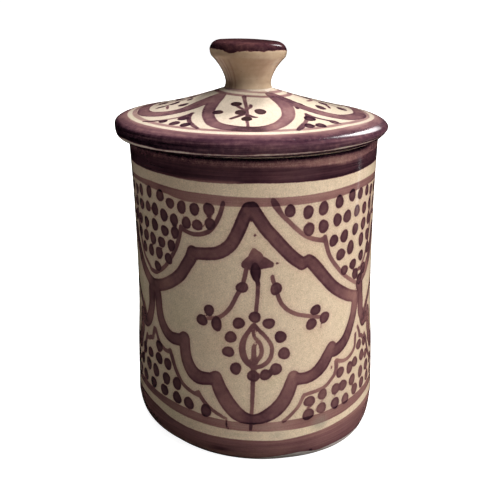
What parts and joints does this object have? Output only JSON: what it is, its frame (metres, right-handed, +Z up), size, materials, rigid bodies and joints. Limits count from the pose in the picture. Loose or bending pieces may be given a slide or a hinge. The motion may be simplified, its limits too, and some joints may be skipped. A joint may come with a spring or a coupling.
{
  "type": "lidded pottery jar",
  "caption": "Cylindrical glazed pottery jar for dry goods, with a shallow conical lid that seats on the rim and lifts off by a flared knob.",
  "frame": {"origin": "centre of the foot ring, on the surface that the jar stands on", "axes": "+Z up along the jar's axis; -Y is the side that the picture shows"},
  "size_m": [0.1392, 0.1392, 0.2025],
  "materials": {
    "jar_glaze": "gloss cream glaze painted with manganese purple brushwork",
    "lid_glaze": "gloss cream glaze painted with manganese purple brushwork",
    "knob_glaze": "gloss tan cream glaze with a dark purple cap"
  },
  "bodies": {
    "jar": {"jar_body": "jar_glaze"},
    "lid_assembly": {"lid": "lid_glaze", "lid_knob": "knob_glaze"}
  },
  "joints": [
    {"name": "lid_lift", "type": "slide", "parent": "jar", "child": "lid_assembly", "axis": [0, 0, 1], "range_m": [0, 0.12]}
  ]
}
